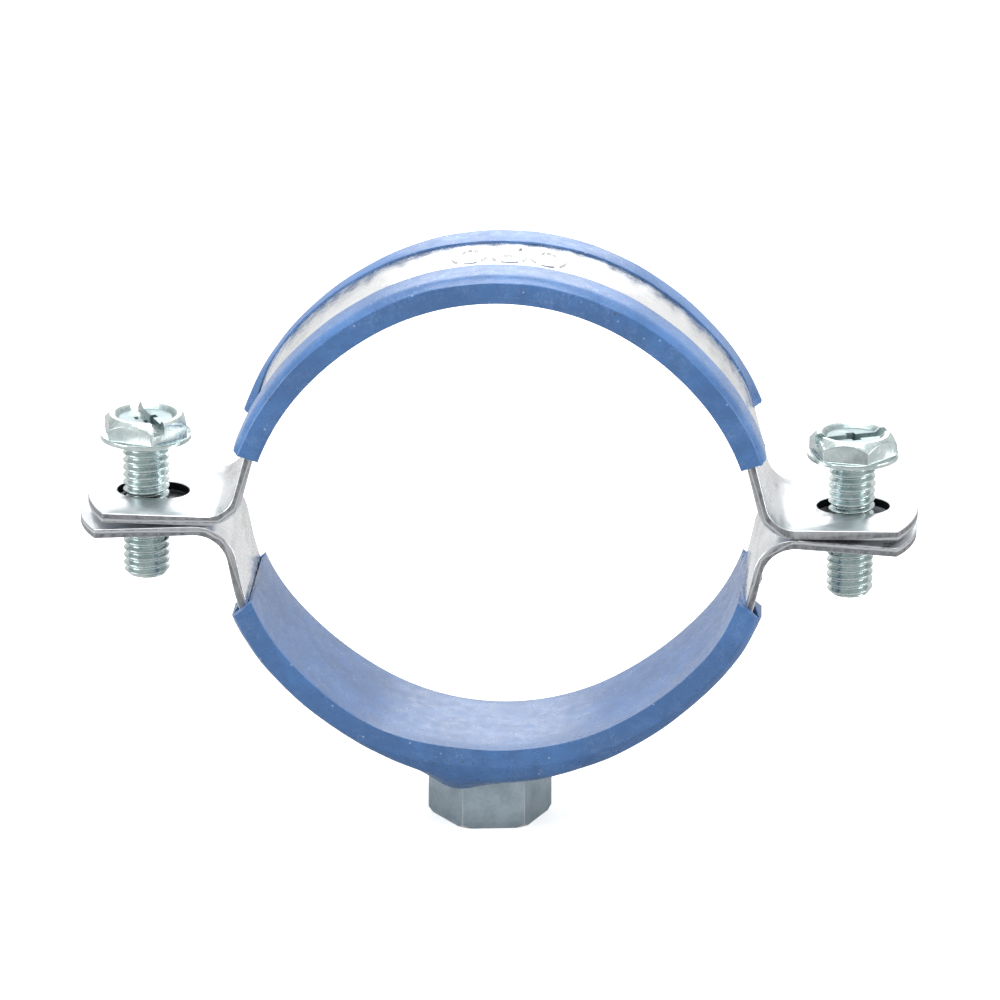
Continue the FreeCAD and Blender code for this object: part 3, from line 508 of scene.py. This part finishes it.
def on_line(line, angle, offset):
    """Point of a three-arc line at an angle from the crown, offset outwards, and the line's normal there."""
    seat, flank, end = LINES[line]
    centre = np.zeros(2)
    radius = seat
    if angle > SEAT_ANGLE:
        centre = centre + (seat - flank) * np.array((math.sin(SEAT_ANGLE), math.cos(SEAT_ANGLE)))
        radius = flank
    if angle > FLANK_END:
        centre = centre + (flank - end) * np.array((math.sin(FLANK_END), math.cos(FLANK_END)))
        radius = end
    normal = np.array((math.sin(angle), math.cos(angle)))
    return centre + (radius + offset) * normal, normal


def channel_floor(half, angle):
    """Height of the channel's floor over the lining's inner face, where the strip lies in it."""
    foot, normal = on_line(half, angle, 0.0)
    tangent = np.array((normal[1], -normal[0]))
    leg = LEG_ANGLES[half]
    run = [on_line(half + "_strip", a, -LINING_PLAY)[0] for a in np.linspace(0, leg, STRIP_POINTS)]
    run.append(run[-1] + LEG_LENGTH * np.array((math.cos(leg), -math.sin(leg))))
    away = np.array(run) - foot
    return float(np.interp(0.0, away @ tangent, away @ normal))


def rounded(corners, steps=4):
    """Closed outline through corners given as (across, up, radius), each rounded with the same few steps."""
    made = []
    count = len(corners)
    for index in range(count):
        here = np.array(corners[index][:2])
        before = np.array(corners[index - 1][:2]) - here
        after = np.array(corners[(index + 1) % count][:2]) - here
        radius = corners[index][2]
        reach_before = min(radius, 0.45 * np.linalg.norm(before))
        reach_after = min(radius, 0.45 * np.linalg.norm(after))
        first = here + before / np.linalg.norm(before) * reach_before
        last = here + after / np.linalg.norm(after) * reach_after
        for step in range(steps + 1):
            t = step / steps
            made.append((1 - t) ** 2 * first + 2 * t * (1 - t) * here + t * t * last)
    return made


def smooth(value, low, high):
    run = min(max((value - low) / (high - low), 0.0), 1.0)
    return run * run * (3.0 - 2.0 * run)


# The boss spreads the lower lips, most at the hexagon corner nearest to each: left of the middle in front,
# right of it behind. The front side of the lower lining is rolled into the bore there. Angles in degrees,
# below zero to the left.
SPREAD_FULL = 8
SPREAD_NONE_NEAR = 36
SPREAD_NONE_FAR = 46
CORNERS = {-1: -7.8, 1: 4.5}
CORNER_REACH = 6.0

# corners of the section are (across, up, radius); here up is the share of the roll that they follow
INNER_FACE = ((3.2 * MM, 0.0, 1.2 * MM), (6.5 * MM, -0.16, 1.2 * MM), (9.2 * MM, -0.55, 1.0 * MM))
RIM_ROUND = 0.13 * MM
EDGE_ROUND = 0.1 * MM


def lip_spread(angle, side):
    """Share of the spread: it runs farther on the side where the corner lies."""
    far = angle * side > 0
    return 1.0 - smooth(abs(angle), SPREAD_FULL, SPREAD_NONE_FAR if far else SPREAD_NONE_NEAR)


def corner_push(angle, side):
    return math.exp(-(((angle - CORNERS[side]) / CORNER_REACH) ** 2))


def front_roll(angle):
    """How far the lower lining's front edge stands in from its line."""
    return (1.45 * smooth(angle, -38, -4) - 1.1 * smooth(angle, 4, 56)) * MM


def far_lip_edge(angle, lowered):
    """Edge of the upper lining's far lip: it draws back from the crown to the ends, and more where the lip
    lies lower."""
    drawn = (2.1 * smooth(-angle, 0, 48) + 0.7 * smooth(angle, 0, 28)) * MM
    return min(LIP_EDGE + (drawn + 2.3 * lowered), FAR_LIP_LIMIT)


def side_corners(half, side, floor, angle):
    """One side of the lining's section, from the middle of the inner face round the lip to the channel's
    floor, between its plain form and the one that the boss spreads. Side is -1 in front and 1 behind."""
    roll = 0.0
    spread = 0.0
    push = 0.0
    if half == "lower":
        spread = lip_spread(angle, side)
        push = corner_push(angle, side) * spread
        roll = front_roll(angle) if side < 0 else -0.25 * MM
    lean = max(roll, 0.0)
    pressed = min(CHANNEL_TOP, floor + STRIP_THICKNESS + LINING_PLAY - LIP_SINK)
    edge = LIP_EDGE
    edge_top = CHANNEL_TOP + LIP_THICKNESS
    if half == "upper" and side > 0:
        edge = far_lip_edge(angle, CHANNEL_TOP - pressed)
        edge_top = pressed + LIP_THICKNESS
    knee = LINING_HALF - KNEE_IN + 0.5 * lean
    inner = [(across, share * roll, radius) for across, share, radius in INNER_FACE]
    plain = inner + [
        (LINING_HALF, -roll, RIM_ROUND),
        (LINING_HALF, SHOULDER - 1.2 * lean, 0.22 * MM),
        (knee, CHANNEL_TOP + KNEE_RISE - 0.1 * lean, 0.8 * MM),
        (edge, edge_top, EDGE_ROUND),
        (edge, pressed, EDGE_ROUND),
        (CHANNEL_HALF, CHANNEL_TOP, EDGE_ROUND),
        (CHANNEL_HALF, floor, EDGE_ROUND),
    ]
    tip = (7.7 + 0.6 * push) * MM
    rise = (4.35 + 1.10 * push) * MM
    bent = inner + [
        (LINING_HALF - 0.08 * MM, -roll, RIM_ROUND),
        (LINING_HALF, SHOULDER - 1.2 * lean, 0.3 * MM),
        (10.6 * MM, (3.05 + 0.5 * push) * MM, 0.9 * MM),
        (tip, rise, 0.14 * MM),
        (tip - 0.35 * MM, rise - 0.35 * MM, 0.12 * MM),
        (CHANNEL_HALF + 0.03 * MM, CHANNEL_TOP + 0.03 * MM, EDGE_ROUND),
        (CHANNEL_HALF, floor, EDGE_ROUND),
    ]
    return [tuple(a + spread * (b - a) for a, b in zip(p, q)) for p, q in zip(plain, bent)]


# how far each end of a lining runs on beyond its nominal place at the front inner edge, what the shoulder
# adds to that, and what the back edge adds
END_SLIDES = {
    ("upper", -1): (0.15 * MM, 0.10 * MM, 0.98 * MM),
    ("upper", 1): (-0.20 * MM, 0.10 * MM, -1.50 * MM),
    ("lower", -1): (-0.28 * MM, -0.85 * MM, -0.90 * MM),
    ("lower", 1): (0.96 * MM, -0.89 * MM, -0.07 * MM),
}
END_STRETCH = math.radians(16)
STATIONS = 141
END_RAGGED = 0.10 * MM
LINING_SEEDS = {"upper": 7, "lower": 11}


def lining_section(half, angle):
    """Closed outline of the lining at an angle in radians."""
    floor = channel_floor(half, abs(angle))
    back = side_corners(half, 1, floor, math.degrees(angle))
    front = side_corners(half, -1, floor, math.degrees(angle))
    return rounded(back + [(-a, b, c) for a, b, c in reversed(front)])


def lining_ring(half, angle, section, wave, ragged):
    """The section's points in place, slid along the lining near its ends."""
    end_side = -1 if angle < 0 else 1
    base, shoulder_adds, back_adds = END_SLIDES[(half, end_side)]
    share = smooth(abs(angle), LINING_END - END_STRETCH, LINING_END)
    ring = []
    for index, (across, up) in enumerate(section):
        if up > SHOULDER:
            up += LIP_WAVE * math.sin(9 * angle + wave[0]) * math.sin(23 * angle + wave[1])
            across += LIP_WAVE * math.sin(13 * angle + wave[2] + (across > 0))
        slide = base + shoulder_adds * up / SHOULDER
        slide += back_adds * (across + LINING_HALF) / (2 * LINING_HALF)
        slide += END_RAGGED * ragged[end_side][index] * (share == 1.0)
        point, _ = on_line(half, abs(angle) + share * slide / LINES[half][2], up)
        ring.append((end_side * point[0], across, point[1]))
    return ring


def map_along(work, rings):
    """Own map of the lining: its section's girth across, the arc along."""
    size = len(rings[0])
    layer = work.loops.layers.uv.new("along")
    crown = rings[STATIONS // 2]
    girth = np.cumsum([0.0] + [math.dist(crown[i][1:], crown[(i + 1) % size][1:]) for i in range(size)])
    arc = 2 * LINING_END * (LOWER_SEAT + WALL) / (STATIONS - 1)
    for face in work.faces:
        wraps = len(face.verts) == 4 and any(v.index % size == size - 1 for v in face.verts)
        for loop in face.loops:
            station, index = divmod(loop.vert.index, size)
            across = girth[-1] if wraps and index == 0 else girth[index]
            loop[layer].uv = (across, station * arc)


def close_ends(work):
    """Flat, sharp-edged ends, cut into triangles."""
    caps = [face for face in work.faces if len(face.verts) > 4]
    for face in caps:
        face.smooth = False
        for edge in face.edges:
            edge.smooth = False
    bmesh.ops.triangulate(work, faces=caps)


def make_lining(half, material):
    """Half ring of rubber swept through its section, with the wall thinner towards its ends. "inward" is 1 on
    its inner face."""
    shape = np.random.RandomState(LINING_SEEDS[half])
    wave = shape.uniform(0, 2 * math.pi, 6)
    ragged = {-1: shape.uniform(-1, 1, 200), 1: shape.uniform(-1, 1, 200)}
    angles = [LINING_END * (2.0 * station / (STATIONS - 1) - 1.0) for station in range(STATIONS)]
    sections = [lining_section(half, angle) for angle in angles]
    rings = [lining_ring(half, angle, section, wave, ragged) for angle, section in zip(angles, sections)]
    inward = [
        1.0 if up < 0.4 * WALL and abs(across) < LINING_HALF - 0.3 * MM else 0.0 for across, up in sections[0]
    ]
    size = len(rings[0])
    vertices = [p for ring in rings for p in ring]
    if half == "lower":
        vertices = [(x, y, -z) for x, y, z in vertices]
    else:
        vertices = [(x + UPPER_SHIFT, y, z + EAR_GAP) for x, y, z in vertices]
    faces = []
    for station in range(STATIONS - 1):
        for index in range(size):
            a = station * size + index
            b = station * size + (index + 1) % size
            faces.append((a, b, b + size, a + size))
    faces.append(tuple(range(size - 1, -1, -1)))
    faces.append(tuple((STATIONS - 1) * size + index for index in range(size)))
    mesh = bpy.data.meshes.new(half + "_lining")
    mesh.from_pydata(vertices, [], faces)
    mesh.materials.append(material)
    shade_smooth(mesh)
    piece = stand(half + "_lining", mesh)
    work = bmesh.new()
    work.from_mesh(mesh)
    inner = work.verts.layers.float.new("inward")
    for vertex in work.verts:
        vertex[inner] = inward[vertex.index % size]
    map_along(work, rings)
    bmesh.ops.recalc_face_normals(work, faces=work.faces)
    close_ends(work)
    work.to_mesh(mesh)
    work.free()
    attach(piece, half + "_half")
    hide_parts(half + "_liner")


# Screws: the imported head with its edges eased, on a threaded shank


def make_thread_tree():
    """A closed threaded rod, tip downwards at height 0: a grid rolled up, its radius following the thread."""
    tree = bpy.data.node_groups.new("threaded_rod", "GeometryNodeTree")
    tree.interface.new_socket("Geometry", in_out="OUTPUT", socket_type="NodeSocketGeometry")
    for name in ("Length", "Pitch", "Crest Radius", "Root Radius", "Tip Chamfer", "Run-out"):
        tree.interface.new_socket(name, in_out="INPUT", socket_type="NodeSocketFloat")
    tree.interface.new_socket("Around", in_out="INPUT", socket_type="NodeSocketInt")
    tree.interface.new_socket("Rows", in_out="INPUT", socket_type="NodeSocketInt")
    tree.interface.new_socket("Material", in_out="INPUT", socket_type="NodeSocketMaterial")
    given = tree.nodes.new("NodeGroupInput").outputs
    end = tree.nodes.new("NodeGroupOutput")
    f = NodeMaker(tree)
    grid = tree.nodes.new("GeometryNodeMeshGrid")
    f.put(grid, "Size X", 1.0)
    f.put(grid, "Size Y", 1.0)
    f.put(grid, "Vertices X", given["Around"])
    f.put(grid, "Vertices Y", given["Rows"])
    where = tree.nodes.new("GeometryNodeInputPosition")
    x, y, z = f.split(where.outputs[0])
    around = f.math("ADD", x, 0.5)
    cap_share = 0.02
    rising = f.math("MULTIPLY", f.math("ADD", y, 0.5), 1 + 2 * cap_share)
    rising = f.math("SUBTRACT", rising, cap_share)
    inside = f.math("MINIMUM", f.math("MAXIMUM", rising, 0.0), 1.0)
    height = f.math("MULTIPLY", inside, given["Length"])
    turns = f.math("FRACT", f.math("SUBTRACT", f.math("DIVIDE", height, given["Pitch"]), around))
    slope = f.math("MULTIPLY", f.math("ABSOLUTE", f.math("SUBTRACT", turns, 0.5)), 2.0)
    tooth = f.math("DIVIDE", f.math("SUBTRACT", slope, 0.14), 0.72, clamp=True)
    depth = f.math("SUBTRACT", given["Crest Radius"], given["Root Radius"])
    fade = f.math("DIVIDE", f.math("SUBTRACT", given["Length"], height), given["Run-out"], clamp=True)
    groove = f.math("MULTIPLY", f.math("MULTIPLY", f.math("SUBTRACT", 1.0, tooth), depth), fade)
    threaded = f.math("SUBTRACT", given["Crest Radius"], groove)
    cone = f.math("ADD", f.math("SUBTRACT", given["Crest Radius"], given["Tip Chamfer"]), height)
    limited = f.math("MINIMUM", threaded, cone)
    low_cap = f.math("DIVIDE", f.math("ADD", rising, cap_share), cap_share, clamp=True)
    high_cap = f.math("DIVIDE", f.math("SUBTRACT", 1 + cap_share, rising), cap_share, clamp=True)
    radius = f.math("MULTIPLY", limited, f.math("MULTIPLY", low_cap, high_cap))
    turn = f.math("MULTIPLY", around, 2 * math.pi)
    rolled = f.join(
        f.math("MULTIPLY", radius, f.math("COSINE", turn)),
        f.math("MULTIPLY", radius, f.math("SINE", turn)),
        height,
    )
    move = tree.nodes.new("GeometryNodeSetPosition")
    f.put(move, "Geometry", grid.outputs["Mesh"])
    f.put(move, "Position", rolled)
    weld = tree.nodes.new("GeometryNodeMergeByDistance")
    f.put(weld, "Geometry", move.outputs[0])
    f.put(weld, "Distance", WELD)
    real = tree.nodes.new("GeometryNodeRealizeInstances")
    f.put(real, 0, weld.outputs[0])
    paint = tree.nodes.new("GeometryNodeSetMaterial")
    f.put(paint, "Geometry", real.outputs[0])
    f.put(paint, "Material", given["Material"])
    tree.links.new(paint.outputs[0], end.inputs[0])
    return tree


def run_tree(name, tree, **inputs):
    """A plain mesh object made by a geometry tree with the inputs named."""
    holder = stand(name, bpy.data.meshes.new(name))
    modifier = holder.modifiers.new("shape", "NODES")
    modifier.node_group = tree
    for item in tree.interface.items_tree:
        label = item.name.replace(" ", "_").replace("-", "_")
        if item.in_out == "INPUT" and label in inputs:
            modifier[item.identifier] = inputs[label]
    return as_mesh(holder)


def clean_copy(node, keep=None):
    """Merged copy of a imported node's mesh, its flat stretches joined; keep chooses the faces that stay."""
    work = bmesh.new()
    work.from_mesh(nodes[node].data)
    bmesh.ops.remove_doubles(work, verts=work.verts, dist=WELD)
    if keep:
        gone = [face for face in work.faces if not keep(face)]
        bmesh.ops.delete(work, geom=gone, context="FACES")
        rim = [edge for edge in work.edges if edge.is_boundary]
        bmesh.ops.contextual_create(work, geom=rim)
    bmesh.ops.dissolve_limit(work, angle_limit=math.radians(1.0), verts=work.verts, edges=work.edges)
    bmesh.ops.recalc_face_normals(work, faces=work.faces)
    return work


def eased_piece(work, name, width, material, segments=2, angle=28):
    """A piece from a mesh being worked on, with its sharp edges rounded."""
    mesh = bpy.data.meshes.new(name)
    work.to_mesh(mesh)
    work.free()
    mesh.materials.append(material)
    shade_smooth(mesh)
    piece = stand(name, mesh)
    bevel = piece.modifiers.new("eased", "BEVEL")
    bevel.width = width
    bevel.segments = segments
    bevel.limit_method = "ANGLE"
    bevel.angle_limit = math.radians(angle)
    bevel.harden_normals = True
    return as_mesh(piece)


def make_strip(half, material):
    """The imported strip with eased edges. "through" is 0 on its face towards the pipe or the other ear, 1 on
    its outer face, and in between on what is sheared."""
    upright = 1 if half == "upper" else -1
    work = clean_copy(half + "_band")
    through = work.verts.layers.float.new("through")
    for vertex in work.verts:
        outer = 0.0
        for face in vertex.link_faces:
            normal = face.normal
            if abs(normal.y) > 0.3:
                continue
            if abs(vertex.co.x) > EAR_START:
                if abs(normal.z) > 0.8:
                    outer = 1.0 if normal.z * upright > 0 else 0.0
            elif abs(normal.x) + abs(normal.z) > 0.8:
                outer = 1.0 if normal.dot(vertex.co) > 0 else 0.0
        vertex[through] = outer
    piece = eased_piece(work, half + "_strip", 0.10 * MM, material)
    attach(piece, half + "_half")
    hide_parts(half + "_band")


# faces under this area belong to the boss's rounded corners, which are neither rubbed nor given the painted
# highlight near the strip
BOSS_NARROW = 3 * MM * MM
BOSS_UNMARKED_TOP = 1.5 * MM


def make_boss(material):
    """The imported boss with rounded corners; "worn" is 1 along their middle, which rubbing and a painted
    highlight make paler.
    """
    work = clean_copy("connection_nut")
    piece = eased_piece(work, "hexagon_boss", 0.45 * MM, material, segments=3, angle=24)
    work = bmesh.new()
    work.from_mesh(piece.data)
    wear_and_highlight = work.verts.layers.float.new("wear_and_highlight")
    for vertex in work.verts:
        narrow = all(face.calc_area() < BOSS_NARROW for face in vertex.link_faces)
        vertex[wear_and_highlight] = 1.0 if narrow and vertex.co.z < boss_high.z - BOSS_UNMARKED_TOP else 0.0
    work.to_mesh(piece.data)
    work.free()
    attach(piece, "lower_half")
    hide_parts("connection_nut")


SCREW_PITCH = 1.0 * MM
SCREW_CREST = 3.0 * MM
SCREW_ROOT = 2.42 * MM
SCREW_CHAMFER = 0.7 * MM
SCREW_RUN_OUT = 0.9 * MM
ROD_AROUND = 73
ROD_ROWS = 400
ROD_IN_HEAD = 0.3 * MM
HEAD_HEIGHT = 3.25 * MM

# the dish of the head: its reach from the axis, and how far it stays from the rim's top and the seat
DISH_REACH = 4.3 * MM
DISH_BELOW_RIM = 0.2 * MM
DISH_OVER_SEAT = 1.2 * MM


def make_screw(side, tree, material):
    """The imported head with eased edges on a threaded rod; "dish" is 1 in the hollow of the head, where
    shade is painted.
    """
    node = side + "_screw"
    low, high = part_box(node)
    axis_x = (low.x + high.x) / 2
    seat = high.z - HEAD_HEIGHT

    def in_head(face):
        return face.calc_center_median().z > seat - 0.01 * MM

    head = eased_piece(clean_copy(node, in_head), side + "_screw_head", 0.13 * MM, material)
    rod = run_tree(
        side + "_screw_rod", tree,
        Length=seat + ROD_IN_HEAD - low.z, Pitch=SCREW_PITCH,
        Crest_Radius=SCREW_CREST, Root_Radius=SCREW_ROOT,
        Tip_Chamfer=SCREW_CHAMFER, Run_out=SCREW_RUN_OUT,
        Around=ROD_AROUND, Rows=ROD_ROWS, Material=material,
    )
    rod.data.transform(Matrix.Translation((axis_x, 0, low.z)))
    shade_smooth(rod.data)
    work = bmesh.new()
    work.from_mesh(head.data)
    work.from_mesh(rod.data)
    dish = work.verts.layers.float.new("dish")
    for vertex in work.verts:
        from_axis = math.hypot(vertex.co.x - axis_x, vertex.co.y)
        between = seat + DISH_OVER_SEAT < vertex.co.z < high.z - DISH_BELOW_RIM
        vertex[dish] = 1.0 if between and from_axis < DISH_REACH else 0.0
    mesh = bpy.data.meshes.new(side + "_hex_screw")
    work.to_mesh(mesh)
    work.free()
    mesh.materials.append(material)
    piece = stand(side + "_hex_screw", mesh)
    for spare in (head, rod):
        bpy.data.objects.remove(spare)
    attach(piece, node)
    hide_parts(node)


# Size number pressed up out of the upper strip

NUMBER = "060"
NUMBER_HEIGHT = 6.6 * MM
NUMBER_PROUD = 0.16 * MM
NUMBER_ROUND = 0.19 * MM
NUMBER_SINK = 0.27 * MM
NUMBER_ANGLE = math.radians(0.9)
NUMBER_STRETCH = 1.1
DIGIT_SHARE = 0.72


def make_number(material):
    """Plain raised number bent round the crown of the upper strip."""
    curve = bpy.data.curves.new("pipe_size_number", "FONT")
    curve.body = NUMBER
    curve.size = NUMBER_HEIGHT / DIGIT_SHARE
    curve.extrude = NUMBER_PROUD / 2
    curve.bevel_depth = NUMBER_ROUND
    curve.bevel_resolution = 2
    curve.align_x = "CENTER"
    curve.resolution_u = 6
    text = stand("pipe_size_number", curve)
    depsgraph = bpy.context.evaluated_depsgraph_get()
    mesh = bpy.data.meshes.new_from_object(text.evaluated_get(depsgraph))
    bpy.data.objects.remove(text)
    work = bmesh.new()
    work.from_mesh(mesh)
    bmesh.ops.remove_doubles(work, verts=work.verts, dist=0.000001)
    through = work.verts.layers.float.new("through")
    outside = UPPER_SEAT + SEAT_TO_STRIP_OUTSIDE
    middle = (max(v.co.y for v in work.verts) + min(v.co.y for v in work.verts)) / 2
    lowest = min(v.co.z for v in work.verts)
    for vertex in work.verts:
        x, y, z = vertex.co
        angle = NUMBER_ANGLE + NUMBER_STRETCH * x / outside
        radius = outside + (z - lowest) - NUMBER_SINK
        vertex.co = (UPPER_SHIFT + radius * math.sin(angle), y - middle, EAR_GAP + radius * math.cos(angle))
        vertex[through] = 1.0
    for face in work.faces:
        face.smooth = True
    work.to_mesh(mesh)
    work.free()
    mesh.materials.clear()
    mesh.materials.append(material)
    piece = stand("pipe_size_number", mesh)
    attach(piece, "upper_half")


# Floor and lights


def make_floor():
    """White to the camera, grey to what it is mirrored in, so that the metal isn't washed out."""
    work = bmesh.new()
    bmesh.ops.create_grid(work, x_segments=2, y_segments=2, size=3.0)
    mesh = bpy.data.meshes.new("floor")
    work.to_mesh(mesh)
    work.free()
    mesh.transform(Matrix.Translation((0, 0, boss_low.z)))
    material, s, surface = new_material("white_table")
    place = s.place()
    seen = s.tree.nodes.new("ShaderNodeLightPath").outputs["Is Camera Ray"]
    white = s.mix(s.noise(place, 3.0), FLOOR_WHITE, FLOOR_WHITE_FAINT)
    s.put(surface, "Base Color", s.mix(seen, FLOOR_GREY, white))
    s.put(surface, "Emission Color", (1, 1, 1, 1))
    s.put(surface, "Emission Strength", s.math("MULTIPLY", seen, 0.45))
    surface.inputs["Roughness"].default_value = 0.8
    surface.inputs["Specular IOR Level"].default_value = 0.2
    mesh.materials.append(material)
    floor = stand("floor", mesh)


def make_area(name, place, size, power):
    """Rectangular light aimed at the origin."""
    data = bpy.data.lights.new(name, "AREA")
    data.shape = "RECTANGLE"
    data.size, data.size_y = size
    data.energy = power
    light = stand(name, data)
    light.location = place
    light.rotation_euler = (-Vector(place)).to_track_quat("-Z", "Y").to_euler()


def make_world():
    """White tent: brightest behind the object, bright overhead, dim behind the camera."""
    world = bpy.data.worlds.new("tent")
    world.use_nodes = True
    bpy.context.scene.world = world
    s = NodeMaker(world.node_tree)
    direction = world.node_tree.nodes.new("ShaderNodeTexCoord").outputs["Generated"]
    x, y, z = s.split(direction)
    behind = s.math("MULTIPLY", s.span(y, 0.3, 0.9), s.span(z, 0.80, 0.35))
    overhead = s.span(z, 0.30, 0.90)
    front = s.math("MULTIPLY", s.span(y, -0.15, -0.80), s.span(z, 0.75, 0.25))
    level = s.math("ADD", 0.62, s.math("MULTIPLY", behind, 0.30))
    level = s.math("ADD", level, s.math("MULTIPLY", overhead, 0.50))
    level = s.math("SUBTRACT", level, s.math("MULTIPLY", front, 0.10))
    background = world.node_tree.nodes["Background"]
    s.put(background, "Color", s.join(level, level, level))
    background.inputs["Strength"].default_value = 1.0


make_camera()
make_world()
make_floor()
make_area("back_box", (-0.02, 0.95, 0.45), (0.62, 0.50), 2.1)
make_area("overhead_box", (-0.05, 0.0, 0.80), (0.7, 0.6), 5.0)
make_area("left_box", (-0.75, -0.30, 0.16), (0.5, 0.4), 2.8)
make_area("right_box", (0.80, -0.25, 0.16), (0.4, 0.4), 2.0)
bpy.context.scene.view_settings.view_transform = "Standard"

rubber = make_rubber()
strip_zinc = make_strip_zinc()
screw_zinc = make_screw_zinc()
boss_zinc = make_boss_zinc()

for half in ("upper", "lower"):
    make_lining(half, rubber)
    make_strip(half, strip_zinc)
make_boss(boss_zinc)
thread_tree = make_thread_tree()
for side in ("left", "right"):
    make_screw(side, thread_tree, screw_zinc)
make_number(strip_zinc)
